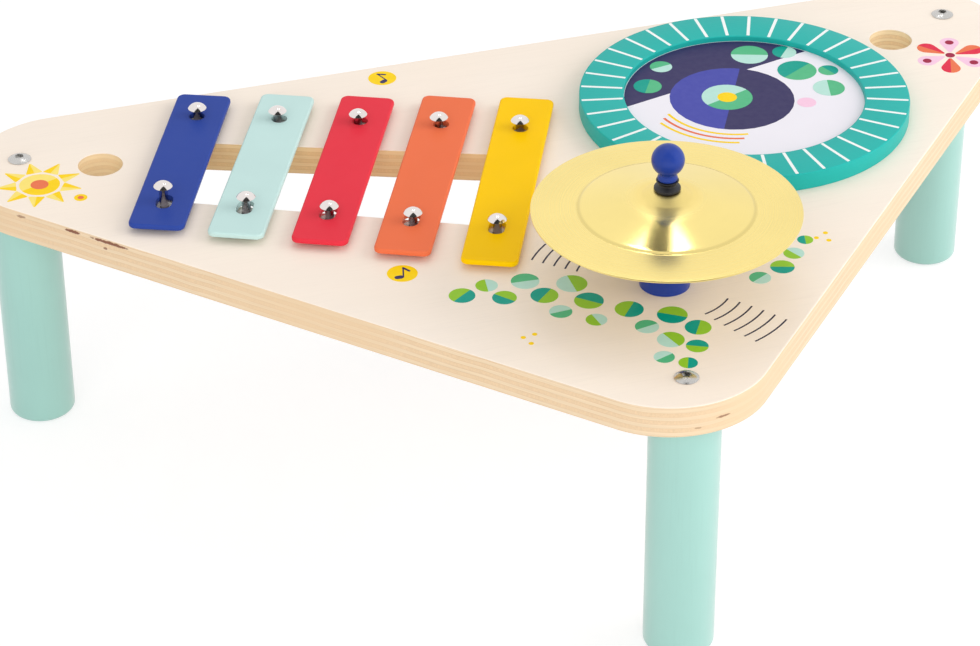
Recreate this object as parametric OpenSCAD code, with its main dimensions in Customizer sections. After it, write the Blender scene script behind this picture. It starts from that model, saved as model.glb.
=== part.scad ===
// Musical activity table. A rounded triangular plywood top stands on three dowel legs
// and carries a five-bar glockenspiel over a sound slot, a drum, and a cymbal on a post.
// Millimetres. The origin is on the floor under the middle of the top, X runs along the
// rear edge, +Y points to the rear edge and +Z is up.

/* [Tabletop] */
// Length of the top, along its rear edge
top_length = 575; // [550:1:640]
// Depth of the top, from the front tip to the rear edge
top_depth = 357; // [340:1:400]
// Thickness of the plywood
top_thickness = 16.5; // [12:0.5:20]
// Radius of the three corners
corner_radius = 51; // [42:1:56]

/* [Legs] */
// Diameter of a leg
leg_diameter = 35; // [28:1:38]
// Length of a leg
leg_length = 138; // [100:1:260]
// Rounding round the foot of a leg
foot_rounding = 3; // [1:0.5:6]
// From the end of the top to the axis of a rear leg
leg_end_inset = 28.5; // [25:0.5:34]
// From the rear edge to the axis of a rear leg
leg_rear_inset = 39; // [34:0.5:44]
// From the front tip to the axis of the front leg
leg_front_inset = 24; // [21:0.5:32]

/* [Leg bolts] */
// Diameter of a leg bolt
leg_bolt_diameter = 6; // [5:0.5:8]
// Diameter of a leg bolt's domed head
leg_bolt_head_diameter = 12; // [10:0.5:16]
// Height of a leg bolt's domed head
leg_bolt_head_height = 2.2; // [1.8:0.1:3.5]
// Width of the hexagon socket in the head, corner to corner
leg_bolt_socket = 4.6; // [3:0.1:5]
// Depth of the hexagon socket
leg_bolt_socket_depth = 1.4; // [0.8:0.1:1.6]
// How far a leg bolt reaches into its leg
leg_bolt_reach = 25; // [15:1:28]
// Outer diameter of the threaded insert in a leg
insert_diameter = 10; // [9:0.5:14]
// Length of the threaded insert
insert_length = 30; // [29:1:40]

/* [Mallet holes] */
// Diameter of the two holes that the mallets stand in
mallet_hole_diameter = 23; // [15:0.5:26]
// From the end of the top to the axis of a mallet hole
mallet_hole_end_inset = 67.2; // [62:0.1:72]
// From the rear edge to the axis of a mallet hole
mallet_hole_rear_inset = 57; // [50:0.5:60]

/* [Glockenspiel] */
// Middle of the row of bars, along the rear edge
bars_x = -103.5; // [-108:0.5:-99]
// Middle of the row of bars, towards the rear edge
bars_y = 71.3; // [68:0.1:76]
// Clockwise turn of the row, seen from above
bars_turn = 24.3; // [20:0.1:28]
// From the axis of one bar to the next
bar_pitch = 42.4; // [36:0.2:44]
// Width of a bar
bar_width = 28.5; // [22:0.5:32]
// Thickness of a bar
bar_thickness = 2.8; // [2:0.1:4]
// Radius of a bar's corners
bar_corner_radius = 4; // [2:0.5:8]
// Length of the blue bar
blue_length = 133.5; // [125:0.5:140]
// Length of the mint bar
mint_length = 142; // [130:0.5:150]
// Length of the red bar
red_length = 146; // [135:0.5:155]
// Length of the orange bar
orange_length = 156; // [140:0.5:160]
// Length of the yellow bar
yellow_length = 164; // [145:0.5:168]
// Height of the bars above the top
bar_lift = 3; // [2:0.1:5]
// Diameter of the pin hole in a bar
bar_hole_diameter = 8; // [6:0.1:9]
// Length of the slotted pin hole at a bar's front end
bar_slot_length = 13; // [10:0.5:16]

/* [Rest of the loose bars on their pins] */
// Clockwise turn of the blue bar, in degrees
blue_turn = -0.4; // [-1:0.1:1.2]
// Clockwise turn of the mint bar, in degrees
mint_turn = 1; // [-1:0.1:1.2]
// Clockwise turn of the red bar, in degrees
red_turn = 1; // [-1:0.1:1.2]
// Clockwise turn of the orange bar, in degrees
orange_turn = 1.2; // [-1:0.1:1.2]
// Clockwise turn of the yellow bar, in degrees
yellow_turn = 0.2; // [-1:0.1:1.2]
// How far the blue bar lies towards the rear
blue_slide = -0.7; // [-0.9:0.1:0.9]
// How far the mint bar lies towards the rear
mint_slide = 0; // [-0.9:0.1:0.9]
// How far the red bar lies towards the rear
red_slide = 0.9; // [-0.9:0.1:0.9]
// How far the orange bar lies towards the rear
orange_slide = 0.9; // [-0.9:0.1:0.9]
// How far the yellow bar lies towards the rear
yellow_slide = 0; // [-0.9:0.1:0.9]

/* [Bar pins] */
// Between the two pins of the shortest bar
pin_span_short = 87; // [80:0.5:92]
// Between the two pins of the longest bar
pin_span_long = 99; // [94:0.5:108]
// Diameter of a pin's shank
pin_diameter = 4.5; // [3:0.1:5]
// Diameter of a pin's mushroom head
pin_head_diameter = 9.6; // [9.2:0.1:12]
// Height of a pin's mushroom head
pin_head_height = 3; // [2:0.1:4]
// Depth of a pin in the top
pin_depth = 10; // [6:0.5:11]
// From a resting bar up to the heads of its pins
pin_play = 4.2; // [2:0.1:6]
// How much higher the blue bar's front pin stands than its rear one
blue_pin_rise = 4; // [0:0.5:5]
// How much higher the mint bar's front pin stands than its rear one
mint_pin_rise = 1.5; // [0:0.5:5]
// Diameter of the felt washer under a bar
felt_diameter = 11; // [9:0.5:14]

/* [Sound slot] */
// Length of the slot under the bars
slot_length = 170; // [160:1:176]
// From the rear row of pins to the slot
slot_rear_margin = 18.2; // [12:0.1:22]
// From the front row of pins to the slot
slot_front_margin = 9.5; // [8:0.5:20]
// Radius of the slot's corners
slot_corner_radius = 8; // [4:0.5:14]

/* [Drum] */
// Middle of the drum, along the rear edge
drum_x = 116; // [112:0.5:122]
// Middle of the drum, towards the rear edge
drum_y = 74.2; // [70:0.1:80]
// Outer diameter of the drum's ring
ring_diameter = 174.4; // [165:0.2:180]
// Inner diameter of the drum's ring
ring_bore = 127; // [120:0.5:132]
// Height of the drum's ring
ring_height = 9.5; // [8:0.5:14]
// From the top of the ring down to the skin
skin_recess = 3.2; // [2:0.1:5]
// Thickness of the drum skin
skin_thickness = 0.5; // [0.3:0.1:1]
// Width of the skin's border that the ring clamps
skin_border = 10; // [6:0.5:11]
// Diameter of the sound hole under the skin
sound_hole_diameter = 118; // [90:1:119]

/* [Drum screws] */
// Number of screws that hold the ring from beneath
screw_count = 6; // [4:1:8]
// Diameter of a screw's thread
screw_diameter = 3.5; // [3:0.1:4]
// Diameter of a screw's head
screw_head_diameter = 7; // [6:0.1:9]
// Height of a screw's head
screw_head_height = 2.4; // [1.5:0.1:3]
// How far a screw reaches into the ring
screw_bite = 6; // [4:0.5:7]

/* [Cymbal] */
// Axis of the cymbal's post, along the rear edge
cymbal_x = 18; // [14:0.5:22]
// Axis of the cymbal's post, towards the rear edge
cymbal_y = -74.5; // [-82:0.5:-70]
// Diameter of the cymbal
cymbal_diameter = 131; // [120:1:140]
// Diameter of the cymbal's dome
dome_diameter = 86; // [70:1:96]
// Rise of the dome above the flat rim
dome_rise = 11; // [8:0.5:14]
// Thickness of the cymbal's sheet
cymbal_thickness = 1; // [0.6:0.1:1.4]
// How far the cymbal rocks to each side, in degrees
cymbal_rock = 3; // [1:0.5:3]

/* [Cymbal post] */
// Diameter of the post
post_diameter = 25; // [20:0.5:32]
// Height of the post
post_height = 48; // [40:0.1:60]
// Rounding round the top of the post
post_rounding = 4; // [1:0.5:5]
// Diameter of the ball on top
knob_diameter = 16.2; // [14:0.1:20]
// Diameter of the knob's neck
neck_diameter = 9.8; // [8.5:0.1:12]
// From the neck's lower face up to the middle of the ball
knob_rise = 10.4; // [9:0.1:14]

/* [Cymbal bolt] */
// Diameter of the bolt through the post
bolt_diameter = 5; // [4:0.1:6]
// Width across corners of the bolt's hexagon head
bolt_head_width = 9.2; // [8.5:0.1:11]
// Height of the bolt's head
bolt_head_height = 3.5; // [2.5:0.1:4]
// How far the bolt reaches into the knob
bolt_bite = 8; // [6:0.5:9]
// Diameter of the washer under the bolt's head
washer_diameter = 12; // [11.2:0.2:14]
// Thickness of the washer
washer_thickness = 1.2; // [0.8:0.1:2]

/* [Grommet] */
// Diameter of the rubber grommet's two flanges
grommet_diameter = 13; // [12:0.1:14.5]
// Diameter of the groove that the cymbal sits in
groove_diameter = 8.4; // [7.5:0.1:9.5]
// Thickness of the lower flange
flange_thickness = 3; // [2:0.1:5]
// Height of the grommet above the cymbal
grommet_rise = 5.8; // [5:0.1:9]
// Diameter of the collar at the top of the grommet
collar_diameter = 10.8; // [10.2:0.1:12]
// Diameter of the waist under the collar
waist_diameter = 9.4; // [8:0.1:10]

/* [Clearances] */
// Gap between two pieces of which one moves
moving_gap = 0.3; // [0.2:0.05:0.4]
// Gap round a shank in its hole, on the radius
shank_gap = 0.3; // [0.2:0.05:0.4]
// Gap round a pin or insert that is driven in, on the radius
driven_gap = 0.05; // [0.02:0.01:0.1]
// Gap between the bolt and the grommet that turns on it, on the radius
running_gap = 0.05; // [0.02:0.01:0.1]
// Gap that is left between the cymbal and the grommet's lower flange at full rock
rocking_gap = 0.12; // [0.1:0.01:0.3]
// From the bolt's head up to the underside of the top
bolt_recess = 0.3; // [0.1:0.1:1]

/* [Hidden] */
$fn = 96;

// Cuts run past the faces that they open by this much
past = 1;

top_z = leg_length + top_thickness;
blind_gap = 1;

leg_x = top_length / 2 - leg_end_inset;
leg_rear_y = top_depth / 2 - leg_rear_inset;
leg_front_y = leg_front_inset - top_depth / 2;
LEG_PLACES = [[-leg_x, leg_rear_y], [leg_x, leg_rear_y], [0, leg_front_y]];

mallet_hole_x = top_length / 2 - mallet_hole_end_inset;
mallet_hole_y = top_depth / 2 - mallet_hole_rear_inset;

BAR_LENGTHS = [blue_length, mint_length, red_length, orange_length, yellow_length];
BAR_TURNS = [blue_turn, mint_turn, red_turn, orange_turn, yellow_turn];
BAR_SLIDES = [blue_slide, mint_slide, red_slide, orange_slide, yellow_slide];
FRONT_PIN_RISES = [blue_pin_rise, mint_pin_rise, 0, 0, 0];
last_bar = len(BAR_LENGTHS) - 1;
bar_top = bar_lift + bar_thickness;
pin_seat = bar_top + pin_play;
slot_end = slot_length / 2 - slot_corner_radius;

skin_diameter = ring_bore + 2 * skin_border;
skin_top = ring_height - skin_recess;
hoop_height = skin_top - skin_thickness;
screw_circle = (skin_diameter + ring_diameter) / 4;

// Heights on the cymbal's axis, above the top
grommet_z = post_height + moving_gap;
cymbal_r = cymbal_diameter / 2;
dome_r = dome_diameter / 2;
dome_ball = (dome_r * dome_r + dome_rise * dome_rise) / (2 * dome_rise);
flange_r = grommet_diameter / 2;
dome_drop = dome_ball - sqrt(dome_ball * dome_ball - flange_r * flange_r);
rock_gap = flange_r * sin(cymbal_rock) + dome_drop + rocking_gap;
dome_top = grommet_z + flange_thickness + rock_gap + cymbal_thickness;
rim_top = dome_top - dome_rise;
cymbal_hole_r = groove_diameter / 2 + moving_gap;
groove_top = dome_top + moving_gap;
grommet_top = dome_top + grommet_rise;
knob_z = grommet_top + moving_gap;
bolt_tip = knob_z + bolt_bite;
counterbore_depth = bolt_head_height + washer_thickness + bolt_recess;
counterbore_diameter = washer_diameter + 2 * shank_gap;
bolt_seat = counterbore_depth - top_thickness;

// Points on an arc of radius r round a centre, from angle a to angle b
function arc(centre, r, a, b, steps = 12) = [
    for (k = [0 : steps]) centre + r * [cos(a + (b - a) * k / steps), sin(a + (b - a) * k / steps)]
];

// Direction of the outward normal of the edge from p to q, on a counter-clockwise outline
function outward(p, q) = atan2(p.x - q.x, q.y - p.y);

// Where the straight edges of an outline meet the circles of radius r at its corners
function tangent_points(centres, r) = [
    for (i = [0 : len(centres) - 1])
    let (
        c = centres[i],
        before = outward(centres[(i + len(centres) - 1) % len(centres)], c),
        after = outward(c, centres[(i + 1) % len(centres)])
    )
    for (a = [before, after]) c + r * [cos(a), sin(a)]
];

// Half the distance between the two pins of bar i, which may lie between two bars
function pin_half(i) = (pin_span_short + (pin_span_long - pin_span_short) * i / last_bar) / 2;

// Place of bar i along the row
function bar_u(i) = (i - last_bar / 2) * bar_pitch;

// Half the pin span at any place along the row
function pin_half_at(u) = pin_half(u / bar_pitch + last_bar / 2);

module at_top(place) {
    translate([place.x, place.y, top_z]) children();
}

module in_bar_row() {
    at_top([bars_x, bars_y]) rotate([0, 0, -bars_turn]) children();
}

// Places children at every pin, with $rise as the extra height of its head
module at_pins() {
    in_bar_row()
        for (i = [0 : last_bar], side = [-1, 1]) {
            $rise = side < 0 ? FRONT_PIN_RISES[i] : 0;
            translate([bar_u(i), side * pin_half(i), 0]) children();
        }
}

module at_screws() {
    at_top([drum_x, drum_y])
        for (i = [0 : screw_count - 1])
            rotate([0, 0, i * 360 / screw_count]) translate([screw_circle, 0, 0]) children();
}

// Flat outline with a round corner of radius r at each centre, counter-clockwise
module rounded_outline(centres, r) {
    polygon(tangent_points(centres, r));
    for (c = centres) translate(c) circle(r);
}

// Domed head, flat underneath, standing on z = 0
module domed_head(diameter, height) {
    ball = (diameter * diameter / 4 + height * height) / (2 * height);
    intersection() {
        translate([0, 0, height - ball]) sphere(ball);
        cylinder(d = diameter + past, h = height);
    }
}

module top_outline() {
    cx = top_length / 2 - corner_radius;
    cy = top_depth / 2 - corner_radius;
    rounded_outline([[cx, cy], [-cx, cy], [0, -cy]], corner_radius);
}

// The slot's long sides run beside the two rows of pins
module slot_outline() {
    rear = slot_rear_margin + slot_corner_radius;
    front = slot_front_margin + slot_corner_radius;
    rounded_outline([
        [slot_end, pin_half_at(slot_end) - rear],
        [-slot_end, pin_half_at(-slot_end) - rear],
        [-slot_end, front - pin_half_at(-slot_end)],
        [slot_end, front - pin_half_at(slot_end)]
    ], slot_corner_radius);
}

module through_top(diameter) {
    translate([0, 0, -top_thickness - past]) cylinder(d = diameter, h = top_thickness + 2 * past);
}

module tabletop() {
    color("#f3e4d0") difference() {
        translate([0, 0, leg_length]) linear_extrude(top_thickness) top_outline();
        in_bar_row() translate([0, 0, -top_thickness - past])
            linear_extrude(top_thickness + 2 * past) slot_outline();
        for (place = LEG_PLACES) at_top(place) through_top(leg_bolt_diameter + 2 * shank_gap);
        for (side = [-1, 1])
            at_top([side * mallet_hole_x, mallet_hole_y]) through_top(mallet_hole_diameter);
        at_pins() translate([0, 0, -pin_depth])
            cylinder(d = pin_diameter + 2 * driven_gap, h = pin_depth + past);
        at_top([drum_x, drum_y]) through_top(sound_hole_diameter);
        at_screws() through_top(screw_diameter + 2 * shank_gap);
        at_top([cymbal_x, cymbal_y]) through_top(bolt_diameter + 2 * shank_gap);
        at_top([cymbal_x, cymbal_y]) translate([0, 0, -top_thickness - past])
            cylinder(d = counterbore_diameter, h = counterbore_depth + past);
    }
}

module leg(place) {
    r = leg_diameter / 2;
    foot = arc([r - foot_rounding, foot_rounding], foot_rounding, -90, 0);
    color("#a9dccd") translate([place.x, place.y, 0]) difference() {
        rotate_extrude() polygon(concat([[0, 0]], foot, [[r, leg_length], [0, leg_length]]));
        translate([0, 0, leg_length - insert_length])
            cylinder(d = insert_diameter + 2 * driven_gap, h = insert_length + past);
    }
}

module leg_left() {
    leg(LEG_PLACES[0]);
}

module leg_right() {
    leg(LEG_PLACES[1]);
}

module leg_front() {
    leg(LEG_PLACES[2]);
}

module leg_bolts() {
    color("silver") for (place = LEG_PLACES) at_top(place) difference() {
        union() {
            domed_head(leg_bolt_head_diameter, leg_bolt_head_height);
            translate([0, 0, -top_thickness - leg_bolt_reach])
                cylinder(d = leg_bolt_diameter, h = top_thickness + leg_bolt_reach);
        }
        translate([0, 0, leg_bolt_head_height - leg_bolt_socket_depth])
            cylinder(d = leg_bolt_socket, h = leg_bolt_socket_depth + past, $fn = 6);
    }
}

module leg_inserts() {
    color("gold") for (place = LEG_PLACES)
        translate([place.x, place.y, leg_length - insert_length]) difference() {
            cylinder(d = insert_diameter, h = insert_length);
            translate([0, 0, -past])
                cylinder(d = leg_bolt_diameter + 2 * driven_gap, h = insert_length + 2 * past);
        }
}

// Bar i, with a round pin hole at the rear and a slotted one at the front
module bar(i) {
    cx = bar_width / 2 - bar_corner_radius;
    cy = BAR_LENGTHS[i] / 2 - bar_corner_radius;
    slot_half = (bar_slot_length - bar_hole_diameter) / 2;
    in_bar_row() translate([bar_u(i), BAR_SLIDES[i], bar_lift]) rotate([0, 0, -BAR_TURNS[i]])
        linear_extrude(bar_thickness) difference() {
            rounded_outline([[cx, cy], [-cx, cy], [-cx, -cy], [cx, -cy]], bar_corner_radius);
            translate([0, pin_half(i)]) circle(d = bar_hole_diameter);
            translate([0, -pin_half(i)]) {
                square([bar_hole_diameter, 2 * slot_half], center = true);
                for (end = [-1, 1]) translate([0, end * slot_half]) circle(d = bar_hole_diameter);
            }
        }
}

module bar_blue() {
    color("#3e54a5") bar(0);
}

module bar_mint() {
    color("#bfe9df") bar(1);
}

module bar_red() {
    color("#ec4454") bar(2);
}

module bar_orange() {
    color("#f07850") bar(3);
}

module bar_yellow() {
    color("#ffd000") bar(4);
}

module bar_pins() {
    color("silver") at_pins() {
        translate([0, 0, pin_seat + $rise]) domed_head(pin_head_diameter, pin_head_height);
        translate([0, 0, -pin_depth])
            cylinder(d = pin_diameter, h = pin_depth + pin_seat + $rise);
    }
}

module bar_felts() {
    thickness = bar_lift - moving_gap;
    color("white") at_pins() difference() {
        cylinder(d = felt_diameter, h = thickness);
        translate([0, 0, -past])
            cylinder(d = pin_diameter + 2 * driven_gap, h = thickness + 2 * past);
    }
}

module drum_ring() {
    color("#37b7b2") difference() {
        at_top([drum_x, drum_y]) cylinder(d = ring_diameter, h = ring_height);
        at_top([drum_x, drum_y]) translate([0, 0, -past])
            cylinder(d = ring_bore, h = ring_height + 2 * past);
        at_top([drum_x, drum_y]) translate([0, 0, -past])
            cylinder(d = skin_diameter + 2 * driven_gap, h = skin_top + past);
        at_screws() translate([0, 0, -past])
            cylinder(d = screw_diameter + 2 * driven_gap, h = screw_bite + blind_gap + past);
    }
}

// Hoop that carries the skin inside the ring
module drum_hoop() {
    color("#e8d3b4") at_top([drum_x, drum_y]) difference() {
        cylinder(d = skin_diameter, h = hoop_height);
        translate([0, 0, -past]) cylinder(d = ring_bore, h = hoop_height + 2 * past);
    }
}

module drum_skin() {
    color("#f4f0ea") at_top([drum_x, drum_y]) translate([0, 0, hoop_height])
        cylinder(d = skin_diameter, h = skin_thickness);
}

module drum_screws() {
    color("silver") at_screws() {
        translate([0, 0, -top_thickness - screw_head_height])
            cylinder(d = screw_head_diameter, h = screw_head_height);
        translate([0, 0, -top_thickness])
            cylinder(d = screw_diameter, h = top_thickness + screw_bite);
    }
}

module cymbal_post() {
    r = post_diameter / 2;
    shoulder = arc([r - post_rounding, post_height - post_rounding], post_rounding, 0, 90);
    color("#2f469b") at_top([cymbal_x, cymbal_y]) difference() {
        rotate_extrude() polygon(concat([[0, 0], [r, 0]], shoulder, [[0, post_height]]));
        translate([0, 0, -past]) cylinder(d = bolt_diameter + 2 * shank_gap, h = post_height + 2 * past);
    }
}

module cymbal_bolt() {
    color("silver") at_top([cymbal_x, cymbal_y]) {
        translate([0, 0, bolt_seat - washer_thickness - bolt_head_height])
            cylinder(d = bolt_head_width, h = bolt_head_height, $fn = 6);
        translate([0, 0, bolt_seat - washer_thickness])
            cylinder(d = bolt_diameter, h = bolt_tip - bolt_seat + washer_thickness);
    }
}

module cymbal_washer() {
    color("silver") at_top([cymbal_x, cymbal_y]) translate([0, 0, bolt_seat - washer_thickness])
        difference() {
            cylinder(d = washer_diameter, h = washer_thickness);
            translate([0, 0, -past])
                cylinder(d = bolt_diameter + 2 * driven_gap, h = washer_thickness + 2 * past);
        }
}

// Rubber spool that turns on the bolt and carries the cymbal in its groove
module cymbal_grommet() {
    soft = 0.6;
    groove_r = groove_diameter / 2;
    collar_r = collar_diameter / 2;
    bulge_top = groove_top + (grommet_top - groove_top) / 2;
    waist_z = grommet_top - (grommet_top - bulge_top) / 2;
    color("#1d1d1f") at_top([cymbal_x, cymbal_y]) difference() {
        rotate_extrude() polygon([
            [0, grommet_z],
            [flange_r - soft, grommet_z],
            [flange_r, grommet_z + soft],
            [flange_r, grommet_z + flange_thickness],
            [groove_r, grommet_z + flange_thickness],
            [groove_r, groove_top],
            [flange_r, groove_top],
            [flange_r, bulge_top - soft],
            [flange_r - soft, bulge_top],
            [waist_diameter / 2, waist_z],
            [collar_r, waist_z + soft],
            [collar_r, grommet_top],
            [0, grommet_top]
        ]);
        translate([0, 0, grommet_z - past])
            cylinder(d = bolt_diameter + 2 * running_gap, h = grommet_top - grommet_z + 2 * past);
    }
}

// Pressed sheet: a flat rim round a shallow dome with a hole at its top
module cymbal() {
    color("#f5dc84") at_top([cymbal_x, cymbal_y]) difference() {
        union() {
            translate([0, 0, rim_top - cymbal_thickness])
                cylinder(r = cymbal_r, h = cymbal_thickness);
            intersection() {
                translate([0, 0, dome_top - dome_ball]) sphere(dome_ball);
                translate([0, 0, rim_top - cymbal_thickness / 2])
                    cylinder(r = cymbal_r, h = dome_rise + cymbal_thickness);
            }
        }
        translate([0, 0, dome_top - dome_ball]) sphere(dome_ball - cymbal_thickness);
        translate([0, 0, rim_top]) cylinder(r = cymbal_hole_r, h = dome_rise + past);
    }
}

module cymbal_knob() {
    color("#2f469b") at_top([cymbal_x, cymbal_y]) difference() {
        union() {
            translate([0, 0, knob_z]) cylinder(d = neck_diameter, h = knob_rise);
            translate([0, 0, knob_z + knob_rise]) sphere(d = knob_diameter);
        }
        translate([0, 0, knob_z - past])
            cylinder(d = bolt_diameter + 2 * driven_gap, h = bolt_bite + blind_gap + past);
    }
}

tabletop();
leg_left();
leg_right();
leg_front();
leg_bolts();
leg_inserts();
bar_blue();
bar_mint();
bar_red();
bar_orange();
bar_yellow();
bar_pins();
bar_felts();
drum_ring();
drum_hoop();
drum_skin();
drum_screws();
cymbal_post();
cymbal_bolt();
cymbal_washer();
cymbal_grommet();
cymbal();
cymbal_knob();
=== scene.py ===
"""Looks of the musical activity table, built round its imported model.

Metres, in the model's own frame. Sizes are written in millimetres and multiplied by MM.
"""

import math
from collections import namedtuple
from contextlib import contextmanager

import bmesh
import bpy
from mathutils import Matrix, Vector


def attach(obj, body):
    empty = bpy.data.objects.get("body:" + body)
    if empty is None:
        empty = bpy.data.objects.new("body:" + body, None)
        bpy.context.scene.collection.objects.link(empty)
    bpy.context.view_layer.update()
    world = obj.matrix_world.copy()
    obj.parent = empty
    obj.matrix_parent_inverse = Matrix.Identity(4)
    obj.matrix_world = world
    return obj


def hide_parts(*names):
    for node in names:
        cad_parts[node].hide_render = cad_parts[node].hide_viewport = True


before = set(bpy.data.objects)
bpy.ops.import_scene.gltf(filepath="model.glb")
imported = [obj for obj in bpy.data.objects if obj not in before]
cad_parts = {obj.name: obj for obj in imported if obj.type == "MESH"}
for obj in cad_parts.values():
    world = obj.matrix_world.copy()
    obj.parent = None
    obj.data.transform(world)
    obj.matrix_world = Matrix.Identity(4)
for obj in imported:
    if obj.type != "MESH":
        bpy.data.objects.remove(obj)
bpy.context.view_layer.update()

MM = 0.001

# ---------------------------------------------------------------- sizes, millimetres

TOP_Z = 154.5
TOP_THICKNESS = 16.5
UNDERSIDE_Z = TOP_Z - TOP_THICKNESS
VENEER = 0.8
INNER_PLIES = 7
PLY = (TOP_THICKNESS - 2 * VENEER) / INNER_PLIES
# How far down the eased edge the face veneer shows. The plies really show on an eased edge, but
# stopping the veneer this soon is painted shade that dims the edge's highlight
VENEER_FACE_ABOVE_EDGE_SHADE = 0.3
BOARD_CORNERS = [(236.5, 127.5), (-236.5, 127.5), (0.0, -127.5)]
BOARD_CORNER_RADIUS = 50.9
TOP_EDGE_ROUND = 1.2
UNDER_EDGE_ROUND = 0.6
HOLE_EDGE_ROUND = 0.45
# Dark gaps in the plies on the board's edge: middle, half length, half height and strength
PLY_GAPS = [
    ((-268.0, 86.7, 152.0), 3.2, 0.9, 0.6),
    ((-246.4, 63.8, 152.9), 5.0, 1.0, 0.9),
    ((-231.5, 47.6, 152.8), 12.5, 1.0, 0.9),
    ((-233.1, 49.0, 148.9), 1.2, 0.8, 0.75),
    ((9.8, -177.4, 146.0), 3.8, 0.6, 0.7),
    ((-2.7, -178.3, 142.4), 1.8, 0.5, 0.4),
]

LEG_PLACES = {"left": (-259.0, 139.5), "right": (259.0, 139.5), "front": (0.0, -154.5)}
LEG_RADIUS = 17.45
LEG_FOOT_ROUND = 3.0
LEG_BOLT_TIP = 113.0
LEG_BOLT_SHANK = 3.0
LEG_BOLT_HEAD = 6.0
LEG_BOLT_DOME = 2.2
SOCKET_RADIUS = 2.3
SOCKET_FLOOR = TOP_Z + 0.8
SOCKET_CUT = 4.0
MALLET_HOLES = [(-220.3, 121.5), (220.3, 121.5)]
MALLET_HOLE_RADIUS = 11.5

BAR_ROW = (-103.5, 71.3)
BAR_ROW_TURN = -24.3
BAR_PITCH = 42.4
BAR_WIDTH = 28.5
BAR_BOTTOM = TOP_Z + 3.0
BAR_TOP = BAR_BOTTOM + 2.8
BAR_CORNER = 4.0
BAR_HOLE = 4.0
BAR_SLOT_REACH = 2.5
BAR_TOP_ROUND = 1.1
BAR_UNDER_ROUND = 0.7
BAR_HOLE_ROUND = 0.35
# Place in the row, length and half the pin span. Then how the bar lies on its pins: turned
# clockwise in degrees and slid to the rear. Last, how much higher its front pin stands.
Bar = namedtuple("Bar", "place length pin turn slide rise")
BARS = {
    "blue": Bar(-2, 133.5, 43.5, -0.4, -0.7, 4.0),
    "mint": Bar(-1, 142.0, 45.0, 1.0, 0.0, 1.5),
    "red": Bar(0, 146.0, 46.5, 1.0, 0.9, 0.0),
    "orange": Bar(1, 156.0, 48.0, 1.2, 0.9, 0.0),
    "yellow": Bar(2, 164.0, 49.5, 0.2, 0.0, 0.0),
}
PIN_PLAY = 4.2
PIN_DEPTH = 10.0
PIN_SHANK = 2.25
PIN_HEAD = 4.8
PIN_DOME = 3.0
FELT_BORE = 2.35
FELT_RADIUS = 5.4
FELT_THICKNESS = 2.6
SLOT_HALF = 77.0
SLOT_CORNER = 8.0
SLOT_REAR_MARGIN = 18.2
SLOT_FRONT_MARGIN = 9.5

DRUM = (116.0, 74.2)
RING_OUTER = 87.1
RING_BORE = 63.5
RING_TOP = TOP_Z + 9.5
SKIN_RADIUS = 73.5
HOOP_TOP = TOP_Z + 5.8
SKIN_TOP = HOOP_TOP + 0.5
SKIN_SAG = 0.05
SOUND_HOLE = 59.0
SCREWS = 6
SCREW_CIRCLE = 80.35
SCREW_SHANK = 1.75
SCREW_HEAD = 3.5
SCREW_HEAD_HEIGHT = 2.4
SCREW_TIP = TOP_Z + 6.0
TICKS = 36
TICK_START = 7.2
TICK_WIDTH = 1.7
TICK_MARGIN = 0.9
TICK_THICKNESS = 0.06

POST = (18.0, -74.5)
POST_RADIUS = 12.45
POST_TOP = TOP_Z + 48.0
BOLT_HOLE = 2.8
BOLT_SHANK = 2.5
BOLT_HEAD = 4.6
BOLT_HEAD_LOW = UNDERSIDE_Z + 0.3
COUNTERBORE = 6.3
COUNTERBORE_TOP = UNDERSIDE_Z + 5.0
WASHER_BORE = 2.6
WASHER_RADIUS = 6.0
WASHER_LOW = COUNTERBORE_TOP - 1.2
GROMMET_LOW = POST_TOP + 0.3
CYMBAL_TOP = 207.5
GROMMET_TOP = CYMBAL_TOP + 5.8
KNOB_LOW = GROMMET_TOP + 0.3
BALL_RADIUS = 8.05
BALL_Z = KNOB_LOW + 10.4

# The cymbal from its middle outwards: where the boss falls, the cone's slopes at its start
# and end, the small step down to the crease, and where the rim begins to droop
CYMBAL_SHEET = 1.0
CYMBAL_HOLE = 4.6
BOSS_EDGE = 6.8
BOSS_FOOT = 13.5
BOSS_FALL = 2.95
CONE_SLOPE = 0.205
CONE_END_SLOPE = 0.233
STEP = 41.8
STEP_FALL = 0.8
CREASE = 43.0
RIM_BEND = 50.0
RIM_FALL = 0.7
CYMBAL_RIM = 65.5

# Printing ink: how deep a shape is sunk, how high it stands, and what each layer adds
INK_SINK = 0.03
INK_HEIGHT = 0.02
INK_LAYER = 0.015

# The camera's angles are in radians
CAMERA_YAW = 0.2988
CAMERA_PITCH = 0.5802
CAMERA_ROLL = -0.0062
CAMERA_AIM = (-72.64, -80.03, 153.0)
CAMERA_DISTANCE = 1586.1
CAMERA_LENS = 121.82
SENSOR_WIDTH = 36.0

# The studio is in metres, watts and degrees. A soft lamp has a place, a size and a power.
ROOM_LIGHT = 0.62
LAMP_AIM = (0, 0, 0.1)
SOFT_LAMPS = {
    "key lamp": ((-1.0, -2.0, 1.1), (2.4, 2.0), 28),
    "fill lamp": ((2.0, -0.7, 1.0), (2.0, 2.0), 31),
    "top lamp": ((0.1, 0.6, 2.2), (2.4, 2.4), 3),
}
# What the polished metal shows, as seen from the cymbal: degrees round from straight behind
# it, degrees up, and a distance. The dark room lies behind the camera and narrows overhead.
STRIP_RISE = 63
STRIP_DISTANCE = 1.4
STRIP_OFFSET = 0.13
STRIP_SIZE = (0.11, 0.3)
STRIP_WATTS = 0.5
GAP_CARD = [(-6.3, 55.5), (6.3, 55.5), (10.7, 70.5), (-10.7, 70.5)]
GAP_CARD_DISTANCE = 1.37
DARK_ROOM = [(130, 12), (180, 12), (230, 12), (180, 86)]
DARK_ROOM_DISTANCE = 2.2


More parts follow.
